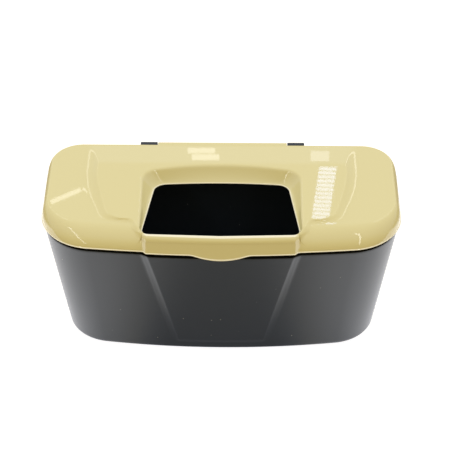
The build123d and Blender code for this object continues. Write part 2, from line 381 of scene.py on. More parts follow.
def plan_reach(turn, half, back, front, bow, front_corner, back_corner):
    """Distance to the bowed and rounded plan of the bin along each ray."""
    dx, dy = np.abs(np.sin(turn)), -np.cos(turn)
    arc = (half ** 2 + bow ** 2) / (2 * bow)
    arc_y = front + arc
    side = half / np.maximum(dx, tiny)
    rear = np.where(dy > tiny, (back - ray_y) / np.maximum(dy, tiny), never)
    reach = np.minimum(np.minimum(side, rear), circle_reach(dx, dy, 0, arc_y, arc))
    bend = np.arctan2(dx, -dy)
    corner_x = half - front_corner
    corner_y = arc_y - math.sqrt((arc - front_corner) ** 2 - corner_x ** 2)
    grow = arc / (arc - front_corner)
    low, high = turn_to(corner_x * grow, arc_y + (corner_y - arc_y) * grow), turn_to(half, corner_y)
    rounded = circle_reach(dx, dy, corner_x, corner_y, front_corner)
    reach = np.where((bend > low) & (bend < high), rounded, reach)
    corner_x, corner_y = half - back_corner, back - back_corner
    low, high = turn_to(half, corner_y), turn_to(corner_x, back)
    rounded = circle_reach(dx, dy, corner_x, corner_y, back_corner)
    return np.where((bend > low) & (bend < high), rounded, reach)


def panel_reach(turn, half, front, bow, edge_radius):
    """Distance to the plan of the raised front panel along each ray, and 0 away from the front."""
    dx, dy = np.abs(np.sin(turn)), -np.cos(turn)
    arc = (half ** 2 + bow ** 2) / (2 * bow)
    arc_y = front + arc
    slope = half - (front + bow)
    side = (half + panel_flank) / np.maximum(dx, tiny)
    flank = (slope + ray_y) / np.maximum(dx - dy, tiny)
    reach = np.minimum(np.minimum(side, flank), circle_reach(dx, dy, 0, arc_y, arc))
    inner = slope - edge_radius * math.sqrt(2)
    mid = (inner + arc_y) / 2
    edge_x = mid + np.sqrt(((arc - edge_radius) ** 2) / 2 - mid ** 2)
    edge_y = edge_x - inner
    grow = arc / (arc - edge_radius)
    bend = np.arctan2(dx, -dy)
    low = turn_to(edge_x * grow, arc_y + (edge_y - arc_y) * grow)
    high = turn_to(edge_x + edge_radius / math.sqrt(2), edge_y - edge_radius / math.sqrt(2))
    rounded = circle_reach(dx, dy, edge_x, edge_y, edge_radius)
    reach = np.where((bend > low) & (bend < high), rounded, reach)
    return np.where(dy < -panel_facing, reach, 0)


def round_corner(middle, first, last, radius, count):
    """Points along the arc about a middle from one spoke to another."""
    points = []
    for share in np.linspace(0, 1, count):
        spoke = first * (1 - share) + last * share
        points.append(middle + spoke / np.linalg.norm(spoke) * radius)
    return points


def rounded_line(corners, radii):
    """Line through the corners, each inner one rounded to its radius."""
    points = [np.array(corners[0], float)]
    for before, corner, after, radius in zip(corners, corners[1:], corners[2:], radii):
        corner = np.array(corner, float)
        back = np.array(before) - corner
        ahead = np.array(after) - corner
        back /= np.linalg.norm(back)
        ahead /= np.linalg.norm(ahead)
        half_angle = math.acos(float(np.clip(back @ ahead, -1, 1))) / 2
        middle = corner + (back + ahead) / np.linalg.norm(back + ahead) * radius / math.sin(half_angle)
        first = corner + back * radius / math.tan(half_angle) - middle
        last = corner + ahead * radius / math.tan(half_angle) - middle
        points += round_corner(middle, first, last, radius, corner_points)
    points.append(np.array(corners[-1], float))
    return np.array(points)


def depth_inside(x, y, line):
    """Depth of points inside an outline given by its right half, negative outside."""
    x = np.abs(x)
    near = np.full(x.shape, never)
    inside = np.zeros(x.shape, bool)
    for (ax, ay), (bx, by) in zip(line[:-1], line[1:]):
        length = (bx - ax) ** 2 + (by - ay) ** 2
        along = np.clip(((x - ax) * (bx - ax) + (y - ay) * (by - ay)) / length, 0, 1)
        near = np.minimum(near, np.hypot(x - ax - along * (bx - ax), y - ay - along * (by - ay)))
        if ay != by:
            cross_x = ax + (y - ay) * (bx - ax) / (by - ay)
            inside ^= ((ay > y) != (by > y)) & (cross_x > x)
    return np.where(inside, near, -near)


foot_line = rounded_line([(0, foot_front_y), (foot_front_half, foot_front_y), foot_side,
                          (foot_back_half, foot_back_y), (foot_back_half, beyond)], foot_radii)
crest_line = rounded_line([(0, crest_front_y), (crest_front_half, crest_front_y),
                           (crest_back_half, plateau_knee_y), (crest_back_half, beyond)], crest_radii)
tongue_line = rounded_line([(0, tongue_outline[0][1])] + tongue_outline, tongue_radii)


def plateau_top(y):
    """Height of the plateau, which falls to the back edge and a little to the front."""
    crest_z = lobe_z + plateau_rise
    behind = crest_z - plateau_rise * (y - plateau_back_y) / (plateau_end_y - plateau_back_y)
    ahead = crest_z - plateau_drop * (plateau_back_y - y) / (plateau_back_y - crest_front_y)
    return smooth_min(behind, ahead, plateau_ridge_soft)


def raised_height(x, y, base, soft):
    """Height of the lid's top where the coved plateau and the tongue round the window stand on a base."""
    to_foot = depth_inside(x, y, foot_line)
    to_crest = depth_inside(x, y, crest_line)
    from_foot = np.clip(to_foot, 0, None)
    share = from_foot / (from_foot + np.clip(-to_crest, 0, None) + tiny)
    angle = math.radians(cove_angle)
    level = (1 - np.sqrt(1 - (share * math.sin(angle)) ** 2)) / (1 - math.cos(angle))
    cove = lobe_z + cove_height * level + np.clip(to_crest, 0, None) * math.tan(angle)
    cove = np.where((to_foot > 0) & (y < plateau_end_y), cove, base)
    to_tongue = depth_inside(x, y, tongue_line)
    slope = 1 / math.tan(math.radians(tongue_side_angle))
    steep = np.where(to_tongue < 0, 1 + cheek_steeper * smooth_step(y, *cheek_y), 1)
    flank = tongue_base_z + to_tongue * slope * steep
    raised = np.maximum(cove, smooth_max(flank, base, soft))
    return np.maximum(base, smooth_min(plateau_top(y), raised, plateau_edge_soft))


def window_line(share, grow):
    """Right half of the window's sloping outline at a share of the way from its hole to its mouth."""

    def mix(hole, mouth):
        return between(hole, mouth, share)

    back_y = mix(hole_back_y, mouth_back_y)
    front_y = mix(hole_front_y, mouth_front_y)
    back_z = mix(hole_back_z, lobe_z + plateau_rise)
    front_z = mix(hole_front_z, lobe_z + plateau_rise - plateau_drop)
    back_half = mix(hole_back_half, mouth_back_half) + grow
    front_half = mix(hole_front_half, mouth_front_half) + grow
    corner = mix(hole_corner, mouth_corner) + grow
    front_corner = mix(hole_front_corner, mouth_front_corner) + grow
    bow = mix(hole_bow, mouth_bow)
    length = math.hypot(back_y - front_y, back_z - front_z)
    half_length = length / 2 + grow
    arc = (back_half ** 2 + bow ** 2) / (2 * bow)
    arc_middle = np.array((0, half_length - arc))
    start = np.array((back_half, half_length - bow))
    end = np.array((front_half, -half_length))
    side = (end - start) / np.linalg.norm(end - start)
    inward = np.array((side[1], -side[0]))
    offset = start + inward * corner - arc_middle
    along = offset @ side
    down = -along - math.sqrt(along ** 2 - offset @ offset + (arc - corner) ** 2)
    middle = start + inward * corner + side * down
    on_side = middle - inward * corner
    spoke = middle - arc_middle
    on_arc = arc_middle + spoke * arc / np.linalg.norm(spoke)
    front = rounded_line([(0, -half_length), tuple(end), tuple(on_side)], (front_corner,))
    bend = round_corner(middle, on_side - middle, on_arc - middle, corner, back_corner_points)
    sweep = np.linspace(on_arc[0], 0, back_bow_points)
    crown = np.stack([sweep, arc_middle[1] + np.sqrt(arc ** 2 - sweep ** 2)], axis=-1)
    flat = np.concatenate([front[:-1], np.array(bend), crown[1:]])
    aside = np.minimum(flat[:, 0] / front_half, 1)
    flat[:, 1] += window_front_bow * aside ** 2 * np.clip(-flat[:, 1] / half_length, 0, 1)
    y = (back_y + front_y) / 2 + flat[:, 1] * ((back_y - front_y) / length)
    z = (back_z + front_z) / 2 + flat[:, 1] * ((back_z - front_z) / length)
    return np.stack([flat[:, 0], y, z], axis=-1)


def denser(line):
    """Line with many points along each straight, so that reading it by angle keeps it straight."""
    steps = np.arange(len(line))
    fine = np.linspace(0, len(line) - 1, (len(line) - 1) * straight_points + 1)
    return np.stack([np.interp(fine, steps, line[:, i]) for i in range(line.shape[1])], axis=-1)


def window_ring(turn, share, grow):
    """Ring of the window's outline, read off along each ray."""
    line = denser(window_line(share, grow))
    line_turn = turn_to(line[:, 0], line[:, 1])
    bend = np.abs(turn)
    reach = np.interp(bend, line_turn, reach_of(line))
    return plan_points(turn, reach, np.interp(bend, line_turn, line[:, 2]))


def lip_depth(turn):
    """How far the finger lip hangs below the lid's edge along each ray."""
    x = np.abs(np.tan(turn)) * (ray_y - fascia_low_y)
    run = lip_half - lip_shoulder_half
    middle = curve_between(lip_drop, lip_shoulder_drop, 0, lip_shoulder_slope * lip_shoulder_half,
                           np.clip(x / lip_shoulder_half, 0, 1))
    end = curve_between(lip_shoulder_drop, 0, lip_shoulder_slope * run, 0,
                        np.clip((x - lip_shoulder_half) / run, 0, 1))
    return np.where(np.cos(turn) > 0, np.where(x < lip_shoulder_half, middle, end), 0)


def lid_edge_ring(turn, rise, inset, wall):
    """Ring of the lid's edge from its hem (rise 0) to its lobes (rise 1), and each ray's part of fascia."""
    # Weights of the rolling curve's two handles and of its end
    hem, lobe, end = 3 * rise * (1 - rise) ** 2, 3 * rise ** 2 * (1 - rise), rise ** 3
    deep = wall + inset
    front_in = hem * hem_handle_front + lobe * lobe_handle_front + end * (front_lean + round_front) + deep
    side_in = hem * hem_handle_side + lobe * lobe_handle_side + end * (side_lean + round_side) + deep
    back_in = lobe * lobe_handle_back + end * round_back + deep
    skirt_z = lid_low_z + hem * hem_handle_z + (lobe + end) * (lobe_z - wall - lid_low_z)
    skirt = plan_reach(turn, rim_half_width + lid_overhang - side_in, rim_back_y + lid_overhang - back_in,
                       rim_front_y - lid_overhang - lid_front_reach + front_in, rim_bow,
                       rim_front_corner + lid_overhang - (front_in + side_in) / 2,
                       rim_back_corner + lid_overhang - (back_in + side_in) / 2)
    lean = min(rise / fascia_face_share, 1)
    roll = max(rise - fascia_face_share, 0) / (1 - fascia_face_share) * math.pi / 2
    inward, up = 1 - math.cos(roll), math.sin(roll)
    low_z = lid_low_z - lip_depth(turn)
    nose_z = float(plateau_top(np.array(fascia_high_y))) - nose_radius
    fascia_z = low_z + (nose_z - wall - low_z) * lean + nose_radius * up
    slope = (fascia_high_y - fascia_low_y) / (nose_z - lid_low_z)
    fascia_y = fascia_low_y + slope * (fascia_z - nose_radius * up + wall * lean - lid_low_z)
    fascia_y = fascia_y + nose_radius * inward + deep
    if wall > 0:
        limit = np.where(fascia_z < lip_root_z, lip_inner_y, lip_root_y)
        fascia_y = np.where(fascia_z < lid_low_z + lip_margin, np.minimum(fascia_y, limit), fascia_y)
    fascia = panel_reach(turn, panel_rim_half, fascia_y, panel_rim_bow, fascia_edge_radius)
    part = smooth_step(fascia - skirt, 0.0, fascia_blend)
    reach = smooth_max(skirt, fascia, fascia_soft)
    return plan_points(turn, reach, between(skirt_z, fascia_z, part)), part


def lid_roll(turn, wall):
    """Points over the roll from the skirt into the lobes, their reaches, and each ray's part of fascia."""
    rises = np.linspace(hem_rises[-1], 1, roll_points)
    roll = [lid_edge_ring(turn, rise, hem_insets[-1], wall) for rise in rises]
    points = np.array([ring for ring, part in roll]).transpose(1, 0, 2)
    return points, reach_of(points), roll[0][1]


def roll_height(reach, roll, roll_reach):
    """Height of the roll at given reaches, one row for each ray."""
    return np.array([np.interp(r, far[::-1], z[::-1]) for r, far, z in zip(reach, roll_reach, roll[..., 2])])


def spread_turns(ring, spacing, zones):
    """Turns of rays that meet a ring at a spacing, and closer together in its zones."""
    fine = np.linspace(-math.pi, math.pi, turn_points)
    edge = ring(fine)
    x, y = np.abs(edge[:-1, 0]), edge[:-1, 1]
    gaps = np.full(x.shape, spacing)
    for (low_x, high_x), (low_y, high_y), closer in zones:
        gaps[(x >= low_x) & (x <= high_x) & (y >= low_y) & (y <= high_y)] = closer
    step = np.linalg.norm(np.diff(edge, axis=0), axis=1)
    along = np.concatenate([[0], np.cumsum(step / gaps)])
    return np.interp(np.linspace(0, along[-1], int(along[-1]) + 1)[:-1], along, fine)


def funnel_mouth(turn, wall, top_points):
    """How far out along each ray the window's funnel comes up through the lid's top."""
    shares = np.linspace(1, 0, funnel_points)
    funnel = np.array([window_ring(turn, share, wall) for share in shares]).transpose(1, 0, 2)
    over = funnel[..., 2] - top_points(reach_of(funnel))[..., 2]
    rays = np.arange(len(turn))
    after = np.clip(np.argmax(over < 0, axis=1), 1, None)
    before = after - 1
    drop = over[rays, before] - over[rays, after] + tiny
    cross = np.clip(over[rays, before] / drop, 0, 1)[:, None]
    return reach_of(funnel[rays, before] * (1 - cross) + funnel[rays, after] * cross)


def top_rings(top_points, far, near, count):
    """Rings over the lid's top from its shoulder to the window's mouth, closer together where it bends."""
    far, near = far[:, None], near[:, None]
    steps = np.linspace(0, 1, top_line_points) ** 2
    line = top_points(between(far, near, steps))
    run, rise = np.diff(reach_of(line), axis=1), np.diff(line[..., 2], axis=1)
    length = np.hypot(run, rise)
    bend = np.abs(np.diff(np.arctan2(rise, -run), axis=1, prepend=math.pi / 2))
    weight = length / length.sum(axis=1)[:, None] + bend / bend.sum(axis=1)[:, None]
    along = np.concatenate([np.zeros((len(line), 1)), np.cumsum(weight, axis=1)], axis=1) / 2
    rings = []
    for share in np.linspace(0, 1, count + 1):
        place = np.array([np.interp(share, a, steps) for a in along])[:, None]
        rings.append(top_points(between(far, near, place))[:, 0])
    return rings


def window_rings(turn, wall, start, corner, count):
    """Rings round the window's mouth and down its hollow funnel to the hole, with a bead outside."""
    hole = window_ring(turn, 0, wall or hole_round)
    down = hole - corner
    soft_share = np.minimum(mouth_round / np.linalg.norm(down, axis=1), mouth_round_wall_share)[:, None]
    finish = corner + down * soft_share
    rings = []
    mouth_count = count // 2 + 2
    for t in np.linspace(0, 1, mouth_count + 1)[1:]:
        rings.append(start * (1 - t) ** 2 + corner * 2 * t * (1 - t) + finish * t ** 2)
    for share in np.linspace(0, 1, count)[1:]:
        ring = between(finish, hole, share)
        ring[:, 2] = between(finish[:, 2], hole[:, 2], 1 - (1 - share) ** funnel_bend)
        rings.append(ring)
    if wall == 0:
        for bend in np.radians(hole_bends):
            ring = window_ring(turn, 0, hole_round * (1 - math.sin(bend)))
            ring[:, 2] -= hole_round * (1 - math.cos(bend))
            rings.append(ring)
    return rings


def lid_rings(turn, wall, top_count, window_count):
    """Rings from the lid's lower edge up the skirt, over the top, and down the window to its hole."""
    roll, roll_reach, part = lid_roll(turn, wall)
    soft = (tongue_soft - tongue_soft_loss * part)[:, None]

    def top_points(reach):
        """Points on the lid's top at given reaches, one row for each ray."""
        base = roll_height(reach, roll, roll_reach)
        points = plan_points(turn[:, None], reach, 0)
        points[..., 2] = raised_height(points[..., 0], points[..., 1], base + wall, soft) - wall
        return points

    shoulder = roll_reach[:, 0]
    mouth = np.minimum(funnel_mouth(turn, wall, top_points), shoulder - mouth_land)
    edge = np.minimum(mouth_round, (shoulder - mouth) * mouth_round_top_share)
    rings = [lid_edge_ring(turn, rise, inset, wall)[0] for rise, inset in zip(hem_rises, hem_insets)]
    rings += top_rings(top_points, shoulder, mouth + edge, top_count)
    rings += window_rings(turn, wall, rings[-1], top_points(mouth[:, None])[:, 0], window_count)
    return np.array(rings)


def add_rings(bm, rings, closed_along=False):
    """Adds a grid of faces that runs round each ring."""
    rows = [[bm.verts.new(p * MM) for p in ring] for ring in rings]
    pairs = list(zip(rows, rows[1:]))
    if closed_along:
        pairs.append((rows[-1], rows[0]))
    for low, high in pairs:
        for j in range(len(low)):
            k = (j + 1) % len(low)
            bm.faces.new((low[j], low[k], high[k], high[j]))
    return rows


def add_tube(bm, rings):
    """Adds rings as one closed body, with a flat cap at each end."""
    rows = add_rings(bm, rings)
    bm.faces.new(rows[0])
    bm.faces.new(rows[-1])
    return rows


def finish_mesh(bm, name):
    """Turns a mesh's faces outwards, smooths it up to an angle and makes an object of it."""
    bmesh.ops.recalc_face_normals(bm, faces=bm.faces)
    mesh = bpy.data.meshes.new(name)
    bm.to_mesh(mesh)
    bm.free()
    mesh.polygons.foreach_set("use_smooth", [True] * len(mesh.polygons))
    mesh.set_sharp_from_angle(angle=math.radians(sharp_angle))
    piece = bpy.data.objects.new(name, mesh)
    bpy.context.scene.collection.objects.link(piece)
    return piece


def lid_shell(bm):
    """Lid's skin outside and inside, with its hem, hole's edge and window's front rim marked for a paler
    colour painted as a highlight.
    """
    turn = spread_turns(lambda fine: lid_edge_ring(fine, 0, 0, 0)[0], lid_spacing, lid_zones)
    outer = lid_rings(turn, 0, outer_top_rings, outer_window_rings)
    inner = lid_rings(turn, lid_wall, inner_top_rings, inner_window_rings)
    # A paler colour is painted along the hem, the hole's edge and the window's front rim as a highlight
    painted_highlight = bm.verts.layers.float.new("painted_edge_highlight")
    rows = add_rings(bm, np.concatenate([outer, inner[::-1]]), closed_along=True)
    hole_row = len(outer) - len(hole_bends)
    for row in rows[:len(hem_rises)] + rows[hole_row:len(outer)]:
        for vert in row:
            vert[painted_highlight] = 1.0
    for row in rows[hole_row - highlight_rim_rings:hole_row]:
        for vert in row:
            forward = smooth_step(vert.co.y / MM, *highlight_rim_y)
            vert[painted_highlight] = float(forward * smooth_step(abs(vert.co.x) / MM, *highlight_rim_x))


def round_section(x, dy, dz, reach):
    """Section about the hinge's axis at one place along it."""
    return np.stack([x + 0 * dy, hinge_y + dy * reach, hinge_z + dz * reach], axis=-1)


def hinge_roll(bm):
    """Rounded back edge between the ears, bored at both ends for the pins."""
    angle = np.linspace(0, 2 * math.pi, roll_round_points + 1)[:-1]
    dy, dz = np.cos(angle), np.sin(angle)
    web = (roll_root_y - hinge_y) / np.minimum(dy, -tiny)
    web = np.where(dz > 0, np.minimum(web, roll_radius / np.maximum(dz, tiny)), web)
    web = np.where(dz < 0, np.minimum(web, roll_web / np.maximum(-dz, tiny)), web)
    outline = np.where(dy < 0, np.maximum(web, roll_radius), roll_radius)
    half = [(roll_half - bore_depth, bore_radius), (roll_half - bore_chamfer, bore_radius),
            (roll_half, bore_radius + bore_chamfer), (roll_half, outline - roll_break),
            (roll_half - roll_break_middle, outline - roll_break_middle), (roll_half - roll_break, outline)]
    rings = [round_section(-x, dy, dz, reach) for x, reach in half]
    rings += [round_section(x, dy, dz, reach) for x, reach in half[::-1]]
    add_tube(bm, rings)


def tub_ring(turn, z, inset):
    """Ring of the tub's wall at a height, with the raised panel in the middle of the front."""
    share = z / rim_height

    def mix(base, rim):
        return between(base, rim, share)

    reach = plan_reach(turn, mix(base_half_width, rim_half_width) - inset,
                       mix(base_back_y, rim_back_y) - inset,
                       mix(base_front_y, rim_front_y) + inset, mix(base_bow, rim_bow),
                       mix(base_front_corner, rim_front_corner) - inset,
                       mix(base_back_corner, rim_back_corner) - inset)
    if z > panel_foot_z:
        foot_share = panel_foot_z / rim_height
        foot_y = between(base_front_y, rim_front_y, foot_share) + panel_foot_sink
        foot_bow = between(base_bow, rim_bow, foot_share) * (panel_foot_half / base_half_width) ** 2
        rise = (z - panel_foot_z) / (rim_height - panel_foot_z)
        half = between(panel_foot_half, panel_rim_half, rise) - inset
        front = between(foot_y, panel_rim_front_y, rise) + inset
        bow = between(foot_bow, panel_rim_bow, rise)
        reach = smooth_max(reach, panel_reach(turn, half, front, bow, panel_edge_radius), panel_blend)
    return plan_points(turn, reach, z)


def tub_shell(bm):
    """Tub's skin from the base up to its neck and down inside to the floor, with the groove marked for
    painted shade.
    """
    turn = spread_turns(lambda fine: tub_ring(fine, rim_height, 0), tub_spacing, tub_zones)
    rings = []
    for roll in np.radians(np.linspace(0, 90, base_edge_rings)):
        z = base_edge_radius * (1 - math.cos(roll))
        rings.append(tub_ring(turn, z, base_edge_radius * (1 - math.sin(roll))))
    wall = np.linspace(base_edge_radius, seat_z - seat_round, outer_wall_rings)
    rings += [tub_ring(turn, z, 0) for z in wall[1:]]
    groove = range(len(rings), len(rings) + groove_rings)
    stations = [(seat_z - seat_round_middle, seat_round_middle), (seat_z, seat_round), (seat_z, seat_width),
                (rim_height - neck_break, seat_width), (rim_height, seat_width + neck_break),
                (rim_height, neck_inner - neck_break), (rim_height - neck_break, neck_inner),
                (neck_root_z, neck_inner), (neck_root_z, tub_wall)]
    rings += [tub_ring(turn, z, inset) for z, inset in stations]
    wall = np.linspace(neck_root_z - neck_step, tub_floor + floor_radius, inner_wall_rings)
    rings += [tub_ring(turn, z, tub_wall) for z in wall]
    for roll in np.radians(np.linspace(0, 90, floor_edge_rings)[1:]):
        z = tub_floor + floor_radius * (1 - math.sin(roll))
        rings.append(tub_ring(turn, z, tub_wall + floor_radius * (1 - math.cos(roll))))
    shade = bm.verts.layers.float.new("shaded_groove")
    rows = add_tube(bm, rings)
    for i in groove:
        for vert in rows[i]:
            vert[shade] = 1.0


def rounded_box(half_x, low_y, high_y, radius, z):
    """Outline of a box with its four corners rounded, seen from above."""
    points = []
    for sign_x, y, first in ((1, high_y - radius, 0), (-1, high_y - radius, 90), (-1, low_y + radius, 180),
                             (1, low_y + radius, 270)):
        for angle in np.radians(np.linspace(first, first + 90, box_corner_points)):
            x = sign_x * (half_x - radius) + radius * math.cos(angle)
            points.append((x, y + radius * math.sin(angle), z))
    return np.array(points)


def hook_loop(bm, side):
    """Belt loop on the back wall, open from top to bottom for a hook's tongue."""
    low_y, high_y = loop_wall_y - loop_sink, loop_wall_y + loop_depth

    def outline(inset, z):
        return rounded_box(loop_half - inset, low_y + inset, high_y - inset, loop_corner, z)

    def slot(z):
        return rounded_box(slot_half, loop_wall_y, loop_wall_y + slot_depth, slot_corner, z)

    rings = [outline(0, loop_low_z + loop_break), outline(0, loop_high_z - loop_break),
             outline(loop_break, loop_high_z), slot(loop_high_z), slot(loop_low_z),
             outline(loop_break, loop_low_z)]
    add_rings(bm, np.array(rings) + np.array((side * hook_x, 0, 0)), closed_along=True)


def hinge_ear(bm, side):
    """Round knuckle for a pin, on a gusset that runs down the back wall."""
    angle = np.linspace(0, 2 * math.pi, ear_round_points + 1)[:-1]
    dy, dz = np.cos(angle), np.sin(angle)
    stations = [(ear_inner_x, ear_bore), (ear_inner_x, ear_radius - ear_break),
                (ear_inner_x + ear_break, ear_radius), (ear_outer_x - ear_break, ear_radius),
                (ear_outer_x, ear_radius - ear_break), (ear_outer_x, ear_bore)]
    rings = [round_section(side * x, dy, dz, reach) for x, reach in stations]
    add_rings(bm, np.array(rings), closed_along=True)
    wall_rate = (rim_back_y - base_back_y) / rim_height
    foot_y = base_back_y + wall_rate * ear_foot_z
    socket = ear_radius - ear_overlap
    profile = [(hinge_y - ear_radius, hinge_z), (hinge_y - ear_radius, ear_shelf_z),
               (rim_back_y - tub_wall / 2, ear_shelf_z), (foot_y - tub_wall / 2, ear_foot_z),
               (foot_y, ear_foot_z), (hinge_y + ear_radius, hinge_z)]
    for bend in np.radians(np.linspace(0, -180, gusset_points)):
        profile.append((hinge_y + socket * math.cos(bend), hinge_z + socket * math.sin(bend)))
    ends = (ear_inner_x + gusset_inset, ear_outer_x - gusset_inset)
    add_tube(bm, [np.array([(side * x, y, z) for y, z in profile]) for x in ends])


def locating_rib(bm, side):
    """Rib under a lobe that drops inside the tub's rim."""
    fine = side * np.linspace(0, math.pi, rib_line_points)
    outer = tub_ring(fine, rib_low_z, rib_outer_inset)
    inner = tub_ring(fine, rib_low_z, rib_outer_inset + rib_gauge)
    keep = np.flatnonzero((np.abs(outer[:, 0]) > rib_inner_half) & (outer[:, 1] < rib_back_y))
    keep = np.linspace(keep[0], keep[-1], rib_points).astype(int)
    sides = []
    for points in (outer[keep], inner[keep]):
        roll, roll_reach, part = lid_roll(turn_to(points[:, 0], points[:, 1]), lid_wall / 2)
        top = points.copy()
        top[:, 2] = np.minimum(roll_height(reach_of(points), roll, roll_reach), rib_high_z)
        sides.append((points, top))
    (outer_low, outer_top), (inner_low, inner_top) = sides
    add_tube(bm, np.stack([outer_low, outer_top, inner_top, inner_low], axis=1))


def cad_copy(node, name, edge_break):
    """Copy of a part's node with its seams merged, its flats joined and its edges broken."""
    bm = bmesh.new()
    bm.from_mesh(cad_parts[node].data)
    bmesh.ops.remove_doubles(bm, verts=bm.verts, dist=seam_gap * MM)
    bmesh.ops.dissolve_limit(bm, angle_limit=math.radians(flat_angle), verts=bm.verts, edges=bm.edges)
    edges = [e for e in bm.edges if e.is_manifold and e.calc_face_angle() > math.radians(sharp_angle)]
    bmesh.ops.bevel(bm, geom=edges, offset=edge_break * MM, segments=2, profile=0.5, affect="EDGES",
                    clamp_overlap=True)
    return finish_mesh(bm, name)


def linear(colour):
    """Linear values of a colour written as it is seen."""
    values = [int(colour[i:i + 2], 16) / 255 for i in (1, 3, 5)]
    return [v / 12.92 if v <= 0.04045 else ((v + 0.055) / 1.055) ** 2.4 for v in values] + [1.0]


def add_node(tree, kind, inputs, **settings):
    """Adds a node with its settings, and sets or links each of its inputs."""
    node = tree.nodes.new(kind)
    for name, value in settings.items():
        setattr(node, name, value)
    for socket, value in inputs.items():
        if isinstance(value, bpy.types.NodeSocket):
            tree.links.new(value, node.inputs[socket])
        else:
            node.inputs[socket].default_value = value
    return node


def new_material(name):
    """Empty material, its tree and its output."""
    material = bpy.data.materials.new(name)
    material.use_nodes = True
    tree = material.node_tree
    tree.nodes.clear()
    return material, tree, tree.nodes.new("ShaderNodeOutputMaterial")


def beige_abs():
    """Polished beige ABS: a clear gloss, the faint waviness of a moulded face, and a paler colour painted on
    its thin edges as a highlight.
    """
    material, tree, out = new_material("beige_abs")
    place = add_node(tree, "ShaderNodeTexCoord", {}).outputs["Object"]
    wave = add_node(tree, "ShaderNodeTexNoise", {"Vector": place, "Scale": 1 / (wave_length * MM),
                                                 "Detail": 1.0})
    bump = add_node(tree, "ShaderNodeBump", {"Height": wave.outputs["Fac"], "Strength": 0.004,
                                             "Distance": wave_depth * MM})
    # Painted highlight: the thin edges turn paler
    painted_highlight = add_node(tree, "ShaderNodeAttribute", {}, attribute_name="painted_edge_highlight").outputs["Fac"]
    colour = add_node(tree, "ShaderNodeMix", {"Factor": painted_highlight, COLOUR_A: linear("#DCD199"),
                                              COLOUR_B: linear("#F8F2D8")}, data_type="RGBA")
    face = add_node(tree, "ShaderNodeBsdfPrincipled", {"Base Color": colour.outputs[COLOUR_OUT],
                                                       "Roughness": 0.02, "IOR": 1.54,
                                                       "Normal": bump.outputs["Normal"]})
    tree.links.new(face.outputs["BSDF"], out.inputs["Surface"])
    return material


def charcoal_pp():
    """Charcoal polypropylene: a satin face with a fine grain, a few pale specks of dust, and painted shade
    that turns the groove under the lid near black.
    """
    material, tree, out = new_material("charcoal_polypropylene")
    place = add_node(tree, "ShaderNodeTexCoord", {}).outputs["Object"]
    grain = add_node(tree, "ShaderNodeTexNoise", {"Vector": place, "Scale": 1 / (grain_size * MM),
                                                  "Detail": 2.0})
    bump = add_node(tree, "ShaderNodeBump", {"Height": grain.outputs["Fac"], "Strength": 0.25,
                                             "Distance": grain_depth * MM})
    cells = add_node(tree, "ShaderNodeTexVoronoi", {"Vector": place, "Scale": 1 / (dust_spacing * MM)})
    pick = add_node(tree, "ShaderNodeSeparateColor", {"Color": cells.outputs["Color"]})
    chosen = add_node(tree, "ShaderNodeMath", {0: pick.outputs["Red"], 1: clean_share},
                      operation="GREATER_THAN")
    near = add_node(tree, "ShaderNodeMapRange", {"Value": cells.outputs["Distance"], "From Min": speck_core,
                                                 "From Max": speck_edge, "To Min": 1.0, "To Max": 0.0})
    speck = add_node(tree, "ShaderNodeMath", {0: near.outputs["Result"], 1: chosen.outputs[0]},
                     operation="MULTIPLY")
    colour = add_node(tree, "ShaderNodeMix", {"Factor": speck.outputs[0], COLOUR_A: linear("#262D37"),
                                              COLOUR_B: linear("#B4B4B0")}, data_type="RGBA")
    # Painted shade: the groove under the lid's edge turns near black
    shade = add_node(tree, "ShaderNodeAttribute", {}, attribute_name="shaded_groove").outputs["Fac"]
    painted_shade = add_node(tree, "ShaderNodeMix", {"Factor": shade, COLOUR_A: colour.outputs[COLOUR_OUT],
                                            COLOUR_B: linear("#050505")}, data_type="RGBA")
    face = add_node(tree, "ShaderNodeBsdfPrincipled", {"Base Color": painted_shade.outputs[COLOUR_OUT],
                                                       "Roughness": 0.42, "IOR": 1.49,
                                                       "Normal": bump.outputs["Normal"]})
    tree.links.new(face.outputs["BSDF"], out.inputs["Surface"])
    return material


def black_pp():
    """Black polypropylene of the hooks: a plain satin face."""
    material, tree, out = new_material("black_polypropylene")
    face = add_node(tree, "ShaderNodeBsdfPrincipled", {"Base Color": linear("#1D1E1F"), "Roughness": 0.4,
                                                       "IOR": 1.49})
    tree.links.new(face.outputs["BSDF"], out.inputs["Surface"])
    return material


def drawn_steel():
    """Drawn steel wire: bright metal with fine lines along its length."""
    material, tree, out = new_material("drawn_steel")
    place = add_node(tree, "ShaderNodeTexCoord", {}).outputs["Object"]
    along = add_node(tree, "ShaderNodeMapping", {"Vector": place, "Scale": (drawn_line_stretch, 1.0, 1.0)})
    lines = add_node(tree, "ShaderNodeTexNoise", {"Vector": along.outputs["Vector"],
                                                  "Scale": 1 / (drawn_line_width * MM)})
    rough = add_node(tree, "ShaderNodeMapRange", {"Value": lines.outputs["Fac"], "To Min": 0.22,
                                                  "To Max": 0.4})
    face = add_node(tree, "ShaderNodeBsdfPrincipled", {"Base Color": linear("#C3C4C6"), "Metallic": 1.0,
                                                       "Roughness": rough.outputs["Result"]})
    tree.links.new(face.outputs["BSDF"], out.inputs["Surface"])
    return material


